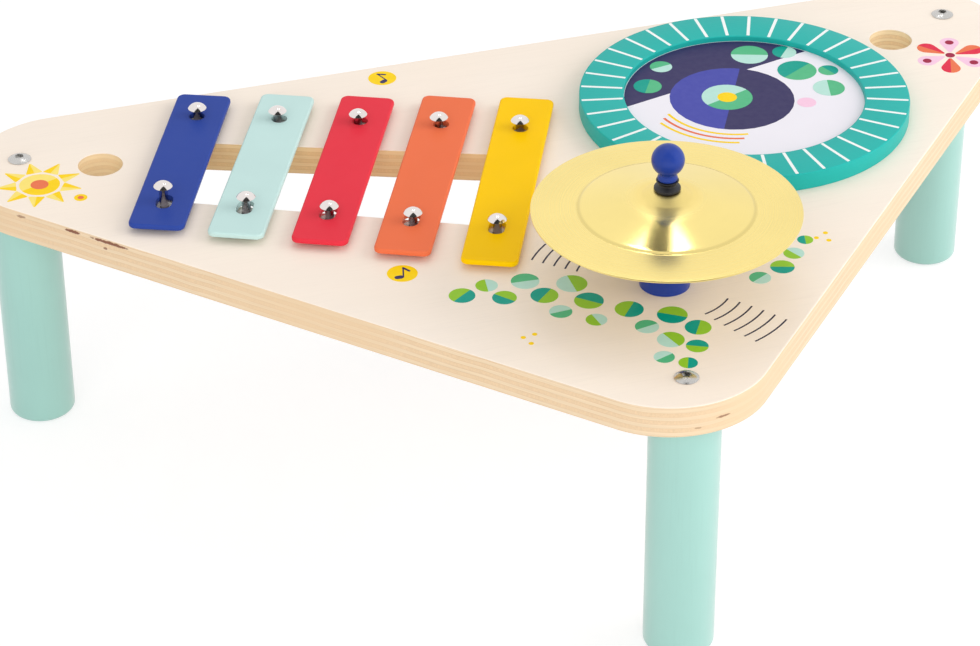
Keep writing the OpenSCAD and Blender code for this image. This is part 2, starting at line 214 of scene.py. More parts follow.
# ---------------------------------------------------------------- ways of working


def only(piece):
    """Selects one piece and nothing else."""
    bpy.ops.object.select_all(action="DESELECT")
    piece.select_set(True)
    bpy.context.view_layer.objects.active = piece


def add_piece(name, primitive, **settings):
    """Adds a primitive with nothing else selected, and names it."""
    bpy.ops.object.select_all(action="DESELECT")
    primitive(**settings)
    piece = bpy.context.active_object
    piece.name = piece.data.name = name
    return piece


@contextmanager
def editing(piece, mode="EDGE"):
    """Edit mode on one piece, with all of it selected to start with."""
    only(piece)
    bpy.ops.object.mode_set(mode="EDIT")
    bpy.ops.mesh.select_mode(type=mode)
    bpy.ops.mesh.select_all(action="SELECT")
    yield bmesh.from_edit_mesh(piece.data)
    bpy.ops.object.mode_set(mode="OBJECT")


def settle(piece):
    """Puts the piece's place into its mesh, so that its object sits at the origin."""
    only(piece)
    bpy.ops.object.transform_apply(location=True, rotation=True, scale=True)
    return piece


def join(pieces, name):
    """Makes one piece of several."""
    bpy.ops.object.select_all(action="DESELECT")
    for piece in pieces:
        piece.select_set(True)
    bpy.context.view_layer.objects.active = pieces[0]
    if len(pieces) > 1:
        bpy.ops.object.join()
    pieces[0].name = pieces[0].data.name = name
    return settle(pieces[0])


def copied(piece, name, shift):
    """A copy with its own mesh, moved by a shift in millimetres."""
    twin = piece.copy()
    twin.data = piece.data.copy()
    twin.name = twin.data.name = name
    bpy.context.collection.objects.link(twin)
    twin.data.transform(Matrix.Translation(Vector(shift) * MM))
    return twin


def apply_modifier(piece, kind, **settings):
    """Adds a modifier and applies it."""
    modifier = piece.modifiers.new(kind.lower(), kind)
    for key, value in settings.items():
        setattr(modifier, key, value)
    only(piece)
    bpy.ops.object.modifier_apply(modifier=modifier.name)


def cut(piece, cutters, operation="DIFFERENCE"):
    """Takes each cutter away from the piece, or keeps what they share."""
    for cutter in cutters:
        apply_modifier(piece, "BOOLEAN", operation=operation, solver="EXACT", object=cutter)
        bpy.data.objects.remove(cutter)


def soften_edges(piece, wanted, width, steps):
    """Rounds the edges that wanted picks, by a width in millimetres."""
    with editing(piece) as shape:
        bpy.ops.mesh.select_all(action="DESELECT")
        for edge in shape.edges:
            edge.select_set(wanted(edge))
        bmesh.update_edit_mesh(piece.data)
        bpy.ops.mesh.bevel(offset=width * MM, segments=steps, profile=0.5, affect="EDGES")


def smooth(piece, degrees=32, flat_faces=False):
    """Shades round forms smoothly, and keeps broad flat faces flat."""
    only(piece)
    bpy.ops.object.shade_smooth_by_angle(angle=math.radians(degrees))
    if flat_faces:
        apply_modifier(piece, "WEIGHTED_NORMAL", keep_sharp=True, weight=80)
    return piece


def at_height(edge, height):
    """True for an edge that lies wholly at a height in millimetres."""
    return all(abs(v.co.z - height * MM) < 0.02 * MM for v in edge.verts)


def is_sharp(edge, degrees=50):
    """True where the two faces of an edge meet at more than an angle."""
    return len(edge.link_faces) == 2 and edge.calc_face_angle() > math.radians(degrees)


def slab(name, corners, low, high, steps=48):
    """Stands a disc (x, y, radius) on each corner and draws a skin tight round them all."""
    discs = [
        add_piece(
            name, bpy.ops.mesh.primitive_cylinder_add, vertices=steps, radius=radius * MM,
            depth=(high - low) * MM, location=(x * MM, y * MM, (low + high) / 2 * MM),
        )
        for x, y, radius in corners
    ]
    piece = join(discs, name)
    with editing(piece):
        if len(corners) > 1:
            bpy.ops.mesh.convex_hull()
            bpy.ops.mesh.select_all(action="SELECT")
        bpy.ops.mesh.dissolve_limited(angle_limit=math.radians(0.5))
    return piece


def turned(name, outline, x, y, steps):
    """Draws half a section, as (across, up) points, and spins it round the upright line at x, y."""
    across, up = outline[0]
    piece = add_piece(
        name, bpy.ops.mesh.primitive_plane_add, size=MM,
        location=((x + across) * MM, y * MM, up * MM),
    )
    with editing(piece, "VERT"):
        bpy.ops.mesh.merge(type="CENTER")
        for before, after in zip(outline, outline[1:]):
            step = ((after[0] - before[0]) * MM, 0, (after[1] - before[1]) * MM)
            bpy.ops.mesh.extrude_region_move(TRANSFORM_OT_translate={"value": step})
        bpy.ops.mesh.select_all(action="SELECT")
        bpy.ops.mesh.spin(steps=steps, angle=math.tau, center=(x * MM, y * MM, 0), axis=(0, 0, 1))
        bpy.ops.mesh.select_all(action="SELECT")
        bpy.ops.mesh.remove_doubles(threshold=0.004 * MM)
        bpy.ops.mesh.normals_make_consistent(inside=False)
    return settle(piece)


def rounded(outline, steps):
    """Turns each (across, up, radius) corner of an outline into an arc."""
    points = []
    for i, point in enumerate(outline):
        if len(point) == 2:
            points.append(point)
            continue
        corner = Vector(point[:2])
        back = (Vector(outline[i - 1][:2]) - corner).normalized()
        ahead = (Vector(outline[(i + 1) % len(outline)][:2]) - corner).normalized()
        half = back.angle(ahead) / 2
        centre = corner + (back + ahead).normalized() * point[2] / math.sin(half)
        reach = point[2] / math.tan(half)
        start, end = corner + back * reach - centre, corner + ahead * reach - centre
        sweep = start.angle(end)
        for k in range(steps + 1):
            share = k / steps
            spoke = start * math.sin((1 - share) * sweep) + end * math.sin(share * sweep)
            points.append(tuple(centre + spoke / math.sin(sweep)))
    return points


def arc(across, up, radius, start, end, steps):
    """Points of an arc in a half section, with angles in degrees from straight out."""
    angles = [math.radians(start + (end - start) * k / steps) for k in range(steps + 1)]
    return [(across + radius * math.cos(a), up + radius * math.sin(a)) for a in angles]


def dome(radius, height, base, edge, steps=9):
    """Half section of a shallow dome that stands on a small edge, from its rim to its middle."""
    rise = height - edge
    ball = (radius * radius + rise * rise) / (2 * rise)
    lean = math.degrees(math.asin(radius / ball))
    return arc(0, base + height - ball, ball, 90 - lean, 90, steps)


def in_bar_row(u, v):
    """Where a point u along the row of bars and v towards the rear lies on the table."""
    a = math.radians(BAR_ROW_TURN)
    x = BAR_ROW[0] + u * math.cos(a) - v * math.sin(a)
    y = BAR_ROW[1] + u * math.sin(a) + v * math.cos(a)
    return x, y


def coat(piece, *finishes):
    """Gives a piece its finishes, the first one all over."""
    piece.data.materials.clear()
    for finish in finishes:
        piece.data.materials.append(finish)
    for face in piece.data.polygons:
        face.material_index = 0
    return piece


def stands_for(piece, node, body="table"):
    """Says which body a finished piece moves with and which node it shows, and hides that node's
    part.
    """
    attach(piece, body)
    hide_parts(node)


# ---------------------------------------------------------------- how finishes are mixed


def tint(red, green, blue):
    """A paint colour from its 0-255 display values."""
    return tuple(
        (c / 255 / 12.92 if c <= 10 else ((c / 255 + 0.055) / 1.055) ** 2.4)
        for c in (red, green, blue)
    ) + (1.0,)


def shade(colour, share):
    """The same colour, darker or lighter."""
    return tuple(min(1.0, c * share) for c in colour[:3]) + (1.0,)


def warmer(colour):
    """The same colour, a little pinker."""
    return (min(1.0, colour[0] * 1.01), colour[1] * 0.97, colour[2] * 0.93, 1.0)


class Finish:
    """A finish in the making: a surface shader, and the nodes that feed it."""

    def __init__(self, name, **sockets):
        self.material = bpy.data.materials.new(name)
        self.material.use_nodes = True
        self.tree = self.material.node_tree
        self.shader = self.tree.nodes["Principled BSDF"]
        for key, value in sockets.items():
            self.shader.inputs[key.replace("_", " ")].default_value = value
        self.here = self.put("ShaderNodeTexCoord").outputs["Object"]

    def put(self, kind, *inputs, **settings):
        """Adds a node. An input is a number, a colour or another node's output."""
        node = self.tree.nodes.new(kind)
        for key, value in settings.items():
            setattr(node, key, value)
        for socket, value in zip(node.inputs, inputs):
            self.feed(socket, value)
        return node

    def feed(self, socket, value):
        """Links an output to a socket, or sets the socket to a number or colour."""
        if isinstance(value, bpy.types.NodeSocket):
            self.tree.links.new(value, socket)
        else:
            socket.default_value = value

    def sum(self, operation, first, second=0.0):
        """Works out one sum of two values."""
        return self.put("ShaderNodeMath", first, second, operation=operation).outputs[0]

    def axes(self):
        """The place on the piece, as three outputs."""
        return self.put("ShaderNodeSeparateXYZ", self.here).outputs

    def stretched(self, scale, shift=(0, 0, 0)):
        """The place on the piece, scaled along each axis and then moved."""
        node = self.put("ShaderNodeMapping", self.here)
        node.inputs["Location"].default_value = shift
        node.inputs["Scale"].default_value = scale
        return node.outputs[0]

    def noise(self, scale, detail=3.0, rough=0.5, where=None, wander=0.0):
        """Cloudy noise from 0 to 1, with so many features in a metre."""
        node = self.put("ShaderNodeTexNoise")
        self.feed(node.inputs["Vector"], where or self.here)
        node.inputs["Scale"].default_value = scale
        node.inputs["Detail"].default_value = detail
        node.inputs["Roughness"].default_value = rough
        node.inputs["Distortion"].default_value = wander
        return node.outputs["Fac"]

    def span(self, value, low, high, to_low=0.0, to_high=1.0):
        """Maps a value from one range to another, and stops at its ends."""
        return self.put("ShaderNodeMapRange", value, low, high, to_low, to_high).outputs[0]

    def blend(self, share, first, second):
        """Mixes two colours."""
        node = self.put("ShaderNodeMix", data_type="RGBA")
        self.feed(node.inputs[0], share)
        self.feed(node.inputs[6], first)
        self.feed(node.inputs[7], second)
        return node.outputs[2]

    def colour(self, value):
        self.feed(self.shader.inputs["Base Color"], value)

    def roughness(self, value):
        self.feed(self.shader.inputs["Roughness"], value)

    def relief(self, height, depth):
        """Raises the surface by height, 0 to 1, times a depth in millimetres."""
        node = self.put("ShaderNodeBump")
        node.inputs["Strength"].default_value = 1.0
        node.inputs["Distance"].default_value = depth * MM
        self.feed(node.inputs["Height"], height)
        self.feed(self.shader.inputs["Normal"], node.outputs[0])


# ---------------------------------------------------------------- finishes

# Noise drawn out along the table's length, as fine grain
FINE_GRAIN = (30, 900, 900)
FACE = tint(251, 238, 224)
GAP_BROWN = tint(120, 60, 38)


def lacquered_plywood(name, light_ply, dark_ply, glue, gaps=()):
    """Plywood: face veneer above and below, and the plies between them on every cut edge."""
    wood = Finish(name, Specular_IOR_Level=0.25)
    place = wood.axes()
    z = place[2]
    fine = wood.noise(1.0, 4.0, 0.6, where=wood.stretched(FINE_GRAIN))
    long_grain = wood.noise(1.0, 5.0, 0.6, where=wood.stretched((25, 25, 2600)))
    layers = stacked_plies(wood, z, long_grain, light_ply, dark_ply, glue)
    for gap in gaps:
        layers = ply_gap(wood, layers, place, *gap)
    # The face veneer's colour stops a little way down the eased edges. The darker plies there are
    # partly real and partly painted shade that dims the edges' highlight
    above = wood.sum("GREATER_THAN", z, (TOP_Z - VENEER_FACE_ABOVE_EDGE_SHADE) * MM)
    below = wood.sum("LESS_THAN", z, (UNDERSIDE_Z + VENEER_FACE_ABOVE_EDGE_SHADE) * MM)
    wood.colour(wood.blend(wood.sum("MAXIMUM", above, below), layers, face_veneer(wood, fine)))
    wood.roughness(wood.span(fine, 0.3, 0.7, 0.42, 0.56))
    wood.relief(wood.sum("ADD", fine, wood.sum("MULTIPLY", long_grain, 0.6)), 0.035)
    return wood.material


def face_veneer(wood, fine):
    """Pale veneer, with its grain along the rear edge."""
    broad = wood.noise(1.0, 3.0, where=wood.stretched((4, 38, 38)), wander=0.6)
    cloud = wood.noise(9.0, 2.0)
    veneer = wood.blend(wood.span(broad, 0.35, 0.7, 0.0, 0.6), FACE, shade(FACE, 0.955))
    veneer = wood.blend(wood.span(fine, 0.5, 0.72, 0.0, 0.35), veneer, shade(FACE, 0.90))
    return wood.blend(wood.span(cloud, 0.4, 0.7, 0.0, 0.35), veneer, warmer(FACE))


def stacked_plies(wood, z, long_grain, light_ply, dark_ply, glue):
    """Plies counted down from the upper veneer, with boundaries that wander a little."""
    wander = wood.span(wood.noise(34.0, 3.0), 0.3, 0.7, -0.35 * MM, 0.35 * MM)
    depth = wood.sum("ADD", wood.sum("SUBTRACT", (TOP_Z - VENEER) * MM, z), wander)
    plies = wood.sum("DIVIDE", depth, PLY * MM)
    place_in_ply = wood.sum("FRACT", plies)
    odd = wood.sum("MODULO", wood.sum("FLOOR", plies), 2.0)
    end_grain = wood.noise(1.0, 3.0, 0.7, where=wood.stretched((1100, 1100, 700)))
    light = wood.blend(wood.span(long_grain, 0.35, 0.7), light_ply, shade(light_ply, 0.88))
    dark = wood.blend(wood.span(end_grain, 0.3, 0.75), shade(dark_ply, 1.03), shade(dark_ply, 0.89))
    layers = wood.blend(odd, light, dark)
    seam = wood.span(wood.sum("ABSOLUTE", wood.sum("SUBTRACT", place_in_ply, 0.5)), 0.40, 0.47)
    patchy = wood.span(wood.noise(60.0, 3.0), 0.3, 0.62, 0.15, 0.8)
    layers = wood.blend(wood.sum("MULTIPLY", seam, patchy), layers, glue)
    sanded = wood.span(wood.noise(7.0, 2.0), 0.45, 0.6, 0.0, 0.7)
    return wood.blend(sanded, layers, dark_ply)


def ply_gap(wood, below, place, middle, half_length, half_height, strength):
    """A dark gap in a ply, as a long blot round a point on the board's edge."""
    dx, dy, dz = (wood.sum("SUBTRACT", here, there * MM) for here, there in zip(place, middle))
    squares = wood.sum("ADD", wood.sum("MULTIPLY", dx, dx), wood.sum("MULTIPLY", dy, dy))
    along = wood.sum("DIVIDE", wood.sum("SQRT", squares), half_length * MM)
    up = wood.sum("DIVIDE", dz, half_height * MM)
    size = wood.sum("ADD", wood.sum("MULTIPLY", along, along), wood.sum("MULTIPLY", up, up))
    ragged = wood.sum("ADD", size, wood.span(wood.noise(420.0, 4.0, 0.7), 0.3, 0.7, -0.55, 0.55))
    mask = wood.span(ragged, 0.55, 1.0, strength, 0.0)
    return wood.blend(mask, below, GAP_BROWN)


def painted_wood(name, colour, roughness=0.42, flat=False, gloss=0.0, shine=0.2, sheen=0.0):
    """Satin paint that lets a trace of the grain through, which runs upright unless it is flat."""
    paint = Finish(name, Coat_Weight=gloss, Coat_Roughness=0.18, Specular_IOR_Level=shine,
                   Sheen_Weight=sheen, Sheen_Roughness=0.4)
    scale = (22, 700, 700) if flat else (700, 700, 22)
    grain = paint.noise(1.0, 4.0, 0.6, where=paint.stretched(scale))
    cloud = paint.noise(22.0, 2.0)
    mixed = paint.blend(paint.span(cloud, 0.3, 0.7, 0.0, 0.5), colour, shade(colour, 0.94))
    paint.colour(paint.blend(paint.span(grain, 0.55, 0.8, 0.0, 0.4), mixed, shade(colour, 0.88)))
    paint.roughness(paint.span(cloud, 0.3, 0.7, roughness - 0.04, roughness + 0.05))
    peel = paint.noise(1500.0, 2.0)
    paint.relief(paint.sum("ADD", grain, paint.sum("MULTIPLY", peel, 0.35)), 0.03)
    return paint.material


def powder_coat(name, colour):
    """Satin paint on a sheet-metal bar, with a faint orange peel."""
    paint = Finish(name, Specular_IOR_Level=0.06)
    cloud = paint.noise(30.0, 2.0)
    speck = paint.noise(2600.0, 2.0)
    mixed = paint.blend(paint.span(cloud, 0.3, 0.7, 0.0, 0.5), colour, shade(colour, 0.93))
    paint.colour(paint.blend(paint.span(speck, 0.62, 0.8, 0.0, 0.25), mixed, shade(colour, 0.85)))
    paint.roughness(paint.span(paint.noise(160.0, 3.0), 0.3, 0.7, 0.29, 0.40))
    paint.relief(paint.noise(1300.0, 2.0), 0.012)
    return paint.material


def printed_ink(name, colour):
    """Flat printing ink on lacquered wood or film, with a slightly uneven lay."""
    ink = Finish(name, Specular_IOR_Level=0.2)
    cover = ink.noise(260.0, 4.0, 0.6)
    grain = ink.noise(1.0, 4.0, 0.6, where=ink.stretched(FINE_GRAIN))
    mixed = ink.blend(ink.span(cover, 0.35, 0.7, 0.0, 0.4), colour, shade(colour, 0.92))
    ink.colour(ink.blend(ink.span(grain, 0.55, 0.75, 0.0, 0.25), mixed, shade(colour, 1.12)))
    ink.roughness(ink.span(cover, 0.3, 0.7, 0.40, 0.52))
    ink.relief(grain, 0.02)
    return ink.material


def plain_metal(name, colour, roughness, scratch, depth=0.006):
    """Bright metal with fine scratches and cloudy wear."""
    metal = Finish(name, Metallic=1.0)
    wear = metal.noise(1.0, 5.0, 0.65, where=metal.stretched(scratch))
    cloud = metal.noise(120.0, 3.0)
    metal.colour(metal.blend(metal.span(cloud, 0.35, 0.7, 0.0, 0.6), colour, shade(colour, 0.9)))
    metal.roughness(metal.span(wear, 0.3, 0.72, roughness * 0.75, roughness * 1.4))
    metal.relief(wear, depth)
    return metal.material


def lathe_turned_brass(name, colour, roughness):
    """Polished brass sheet with the fine rings of the lathe round the post."""
    brass = Finish(name, Metallic=1.0)
    around = brass.stretched((1, 1, 0), (-POST[0] * MM, -POST[1] * MM, 0))
    radius = brass.put("ShaderNodeVectorMath", around, operation="LENGTH").outputs["Value"]
    rings = brass.put("ShaderNodeTexNoise", noise_dimensions="1D")
    brass.feed(rings.inputs["W"], radius)
    rings.inputs["Scale"].default_value = 2600.0
    rings.inputs["Detail"].default_value = 3.0
    groove = rings.outputs["Fac"]
    cloud = brass.noise(26.0, 3.0)
    tone = brass.blend(brass.span(cloud, 0.3, 0.7), colour, shade(colour, 0.93))
    # A thin line of painted shade just inside the crease, darkening the brass as the crease's shade
    # and reflection do
    crease_shade_line = (CREASE - 0.5) * MM
    from_line = brass.sum("ABSOLUTE", brass.sum("SUBTRACT", radius, crease_shade_line))
    crease_shade = brass.span(from_line, 0.3 * MM, 1.3 * MM, 0.6, 0.0)
    tone = brass.blend(crease_shade, tone, shade(colour, 0.68))
    brass.colour(brass.blend(brass.span(groove, 0.35, 0.7, 0.0, 0.35), tone, shade(colour, 0.88)))
    # Satin round the middle and on the rim, polished between them
    middle = brass.span(radius, (BOSS_FOOT + 0.5) * MM, (BOSS_FOOT + 9.5) * MM, 2.1, 0.0)
    rim = brass.span(radius, (CREASE - 0.2) * MM, (CREASE + 0.2) * MM)
    satin = brass.sum("MAXIMUM", middle, rim)
    streaky = brass.span(groove, 0.3, 0.7, roughness * 0.8, roughness * 1.25)
    brass.roughness(brass.sum("ADD", streaky, brass.sum("MULTIPLY", satin, 0.17)))
    brass.relief(groove, 0.004)
    return brass.material


def moulded_rubber(name, colour):
    """Black rubber with a greyish bloom."""
    rubber = Finish(name)
    bloom = rubber.noise(300.0, 4.0)
    rubber.colour(rubber.blend(rubber.span(bloom, 0.35, 0.75), colour, shade(colour, 1.9)))
    rubber.roughness(rubber.span(bloom, 0.3, 0.7, 0.38, 0.55))
    rubber.relief(rubber.noise(1800.0, 2.0), 0.02)
    return rubber.material


def pressed_felt(name, colour):
    """Wool felt with matted fibres."""
    felt = Finish(name, Roughness=0.95, Sheen_Weight=0.35)
    fibre = felt.noise(1700.0, 5.0, 0.7, wander=1.5)
    felt.colour(felt.blend(felt.span(fibre, 0.3, 0.7), shade(colour, 0.82), colour))
    felt.relief(fibre, 0.25)
    return felt.material


def drum_film(name, colour):
    """Smooth plastic film, with a slight haze."""
    film = Finish(name, Coat_Weight=0.25, Coat_Roughness=0.12)
    haze = film.noise(18.0, 3.0)
    film.colour(film.blend(film.span(haze, 0.3, 0.7), colour, shade(colour, 0.965)))
    film.roughness(film.span(haze, 0.3, 0.7, 0.26, 0.36))
    film.relief(film.noise(2200.0, 2.0), 0.008)
    return film.material


board_wood = lacquered_plywood(
    "lacquered birch plywood", tint(239, 214, 181), tint(233, 203, 165), tint(216, 180, 137), PLY_GAPS
)
sawn_wood = lacquered_plywood(
    "sawn birch plywood", tint(242, 208, 156), tint(234, 196, 142), tint(214, 172, 122)
)
bored_wood = lacquered_plywood(
    "bored birch plywood", tint(252, 230, 190), tint(242, 214, 170), tint(214, 180, 135)
)
mint_paint = painted_wood(
    "mint satin paint", tint(160, 206, 196), 0.34, gloss=0.3, shine=0.5, sheen=0.3
)
ring_paint = painted_wood("teal satin paint", tint(34, 178, 170), flat=True)
hoop_beech = painted_wood("bare beech", tint(226, 196, 152), 0.6, flat=True)
knob_paint = painted_wood("blue gloss paint", tint(34, 62, 150), 0.3, gloss=0.12)
pin_chrome = plain_metal("pin chrome", tint(236, 229, 226), 0.1, (1500, 1500, 1500), 0.002)
shank_steel = plain_metal("pin shank", tint(206, 198, 206), 0.12, (1500, 1500, 300), 0.004)
bolt_steel = plain_metal("zinc-plated steel", tint(205, 203, 200), 0.24, (900, 900, 900))
insert_brass = plain_metal("insert brass", tint(214, 178, 110), 0.3, (900, 900, 900))
cymbal_brass = lathe_turned_brass("cymbal brass", tint(255, 232, 150), 0.115)
grommet_rubber = moulded_rubber("grommet rubber", tint(30, 30, 33))
washer_felt = pressed_felt("washer felt", tint(214, 210, 202))
skin_film = drum_film("drum film", tint(240, 236, 244))

BAR_COLOURS = {
    "blue": (50, 74, 158),
    "mint": (198, 228, 224),
    "red": (232, 56, 72),
    "orange": (240, 118, 77),
    "yellow": (255, 203, 0),
}
INK_COLOURS = {
    "indigo": (52, 46, 92),
    "navy": (70, 74, 168),
    "teal": (0, 160, 142),
    "sea": (86, 186, 134),
    "lime": (148, 202, 46),
    "mint": (186, 228, 216),
    "yellow": (255, 214, 0),
    "straw": (255, 230, 120),
    "orange": (236, 118, 76),
    "red": (226, 40, 72),
    "maroon": (160, 26, 66),
    "pink": (248, 202, 226),
    "black": (44, 40, 62),
    "white": (244, 248, 246),
}
bar_paints = {
    name: powder_coat(name + " bar paint", tint(*colour)) for name, colour in BAR_COLOURS.items()
}
inks = {name: printed_ink(name + " ink", tint(*colour)) for name, colour in INK_COLOURS.items()}


# ---------------------------------------------------------------- the board


def slot_cutter():
    """The hole under the bars, wider towards the long ones."""
    short, long = BARS["blue"], BARS["yellow"]
    widening = (long.pin - short.pin) / ((long.place - short.place) * BAR_PITCH)
    corners = []
    for u in (-SLOT_HALF, SLOT_HALF):
        pin = (short.pin + long.pin) / 2 + widening * u
        rear = pin - SLOT_REAR_MARGIN - SLOT_CORNER
        front = SLOT_FRONT_MARGIN + SLOT_CORNER - pin
        corners += [in_bar_row(u, v) + (SLOT_CORNER,) for v in (rear, front)]
    return slab("slot", corners, UNDERSIDE_Z - 2, TOP_Z + 2)


def round_hole(x, y, radius, steps, high=TOP_Z + 2):
    """A cutter from under the board up to a height."""
    return slab("hole", [(x, y, radius)], UNDERSIDE_Z - 2, high, steps)


def in_board(x, y, margin):
    """True for a point at least a margin inside the board's outline."""
    (right, rear), _, (_, front) = BOARD_CORNERS
    side = Vector((right, rear - front)).normalized()
    past_side = abs(x) * side.y - (y - front) * side.x
    from_corner = Vector((abs(x) - right, y - rear))
    from_tip = Vector((x, y - front))
    limit = BOARD_CORNER_RADIUS - margin
    if past_side > limit or from_corner.y > limit:
        return False
    past_corner = from_corner.x > 0 and from_corner.length > limit
    past_tip = from_tip.y < 0 and from_tip.length > limit and abs(x) < 40
    return not (past_corner or past_tip)


def make_board():
    """A rounded triangle of plywood with its slot, holes and softened edges."""
    corners = [(x, y, BOARD_CORNER_RADIUS) for x, y in BOARD_CORNERS]
    board = slab("board", corners, UNDERSIDE_Z, TOP_Z, 144)
    for height, width in ((TOP_Z, TOP_EDGE_ROUND), (UNDERSIDE_Z, UNDER_EDGE_ROUND)):
        soften_edges(board, lambda e, h=height: at_height(e, h), width, 4)
    cutters = [slot_cutter()]
    cutters += [round_hole(*hole, MALLET_HOLE_RADIUS, 64) for hole in MALLET_HOLES]
    cutters += [round_hole(*DRUM, SOUND_HOLE, 96), round_hole(*POST, BOLT_HOLE, 32)]
    cutters += [round_hole(*POST, COUNTERBORE, 48, COUNTERBORE_TOP)]
    cut(board, cutters)
    for height in (TOP_Z, UNDERSIDE_Z):
        soften_edges(
            board, lambda e, h=height: at_height(e, h) and is_sharp(e), HOLE_EDGE_ROUND, 2
        )
    coat(board, board_wood, sawn_wood, bored_wood)
    # The finishes inside the openings, by their place in the list above
    sawn, bored = 1, 2
    mallet_holes = [Vector(hole) * MM for hole in MALLET_HOLES]
    reach = (MALLET_HOLE_RADIUS + 3.5) * MM
    for face in board.data.polygons:
        inside = in_board(face.center.x / MM, face.center.y / MM, 6.0)
        if abs(face.normal.z) < 0.3 and inside:
            near = any((face.center.xy - hole).length < reach for hole in mallet_holes)
            face.material_index = bored if near else sawn
    smooth(board, flat_faces=True)
    stands_for(board, "tabletop")


def make_legs():
    """Turned dowels with a rounded foot and a slightly eased shoulder."""
    outline = rounded([
        (0, 0), (LEG_RADIUS, 0, LEG_FOOT_ROUND), (LEG_RADIUS, UNDERSIDE_Z, 0.5), (0, UNDERSIDE_Z),
    ], 8)
    for side, (x, y) in LEG_PLACES.items():
        leg = smooth(coat(turned("painted_leg_" + side, outline, x, y, 72), mint_paint))
        stands_for(leg, "leg_" + side)


def make_leg_bolts():
    """Domed bolt heads with a hexagon socket."""
    tip, shank, head = LEG_BOLT_TIP, LEG_BOLT_SHANK, LEG_BOLT_HEAD
    outline = [(0, tip), (shank - 0.4, tip), (shank, tip + 0.6), (shank, TOP_Z)]
    outline += [(head - 0.3, TOP_Z), (head, TOP_Z + 0.3)]
    outline += dome(head, LEG_BOLT_DOME, TOP_Z, 0.35)
    brim = (SOCKET_FLOOR + 0.4) * MM
    for side, (x, y) in LEG_PLACES.items():
        bolt = turned("leg_bolt_" + side, outline, x, y, 48)
        socket = add_piece(
            "socket", bpy.ops.mesh.primitive_cylinder_add, vertices=6, radius=SOCKET_RADIUS * MM,
            depth=SOCKET_CUT * MM, location=(x * MM, y * MM, (SOCKET_FLOOR + SOCKET_CUT / 2) * MM),
        )
        cut(bolt, [settle(socket)])
        soften_edges(bolt, lambda e: e.verts[0].co.z > brim and is_sharp(e, 40), 0.12, 2)
        stands_for(smooth(coat(bolt, bolt_steel), 35), "leg_bolts")


# ---------------------------------------------------------------- glockenspiel


def on_bar(bar, across, along):
    """Where a point of a bar lies on the table, with the bar a little askew on its pins."""
    lean = math.radians(bar.turn)
    u = bar.place * BAR_PITCH + across * math.cos(lean) + along * math.sin(lean)
    return in_bar_row(u, bar.slide - across * math.sin(lean) + along * math.cos(lean))


def make_bars():
    """Sheet-metal bars: softened ends, a round hole at the rear and a slotted one in front."""
    for name, bar in BARS.items():
        half_width = BAR_WIDTH / 2 - BAR_CORNER
        half_length = bar.length / 2 - BAR_CORNER
        corners = [
            on_bar(bar, across * half_width, along * half_length) + (BAR_CORNER,)
            for across, along in ((1, 1), (-1, 1), (-1, -1), (1, -1))
        ]
        plate = slab("painted_bar_" + name, corners, BAR_BOTTOM, BAR_TOP)
        soften_edges(plate, lambda e: at_height(e, BAR_TOP), BAR_TOP_ROUND, 4)
        soften_edges(plate, lambda e: at_height(e, BAR_BOTTOM), BAR_UNDER_ROUND, 3)
        rear = [on_bar(bar, 0, bar.pin) + (BAR_HOLE,)]
        front = [on_bar(bar, 0, end * BAR_SLOT_REACH - bar.pin) + (BAR_HOLE,) for end in (-1, 1)]
        cut(plate, [slab("hole", ends, BAR_BOTTOM - 1, BAR_TOP + 1, 40) for ends in (rear, front)])
        soften_edges(
            plate, lambda e: at_height(e, BAR_TOP) and is_sharp(e), BAR_HOLE_ROUND, 2
        )
        smooth(coat(plate, bar_paints[name]), flat_faces=True)
        stands_for(plate, "bar_" + name, body="bar_" + name)


def model_pin(rise):
    """Mushroom-headed pin at the table's middle, standing higher by a rise."""
    low, seat, shank, head = TOP_Z - PIN_DEPTH, BAR_TOP + PIN_PLAY + rise, PIN_SHANK, PIN_HEAD
    outline = [(0, low), (1.4, low), (shank, low + 1.4), (shank, seat - 0.5), (2.6, seat - 0.05)]
    outline += [(head - 0.45, seat - 0.02), (head - 0.15, seat + 0.12), (head, seat + 0.4)]
    outline += dome(head, PIN_DOME, seat, 0.4, 12)
    pin = coat(turned("pin", outline, 0, 0, 40), pin_chrome, shank_steel)
    for face in pin.data.polygons:
        face.material_index = int(face.center.z < seat * MM)
    return smooth(pin, 40)


def make_pins_and_felts():
    """The pins of the bars, and the felt washers that the bars rest on."""
    felt_top = TOP_Z + FELT_THICKNESS
    outline = rounded([
        (FELT_BORE, TOP_Z), (FELT_RADIUS, TOP_Z, 0.5), (FELT_RADIUS, felt_top, 0.9),
        (FELT_BORE, felt_top, 0.3), (FELT_BORE, TOP_Z),
    ], 4)
    felt = smooth(coat(turned("felt", outline, 0, 0, 32), washer_felt), 50)
    rises = {0.0} | {bar.rise for bar in BARS.values()}
    pins = {rise: model_pin(rise) for rise in sorted(rises)}
    for name, bar in BARS.items():
        for end, side, rise in (("rear", 1, 0.0), ("front", -1, bar.rise)):
            x, y = in_bar_row(bar.place * BAR_PITCH, side * bar.pin)
            pin = copied(pins[rise], f"pin_{name}_{end}", (x, y, 0))
            stands_for(pin, "bar_pins")
            washer = copied(felt, f"felt_washer_{name}_{end}", (x, y, 0))
            stands_for(washer, "bar_felts")
    for model in (felt, *pins.values()):
        bpy.data.objects.remove(model)


# ---------------------------------------------------------------- drum


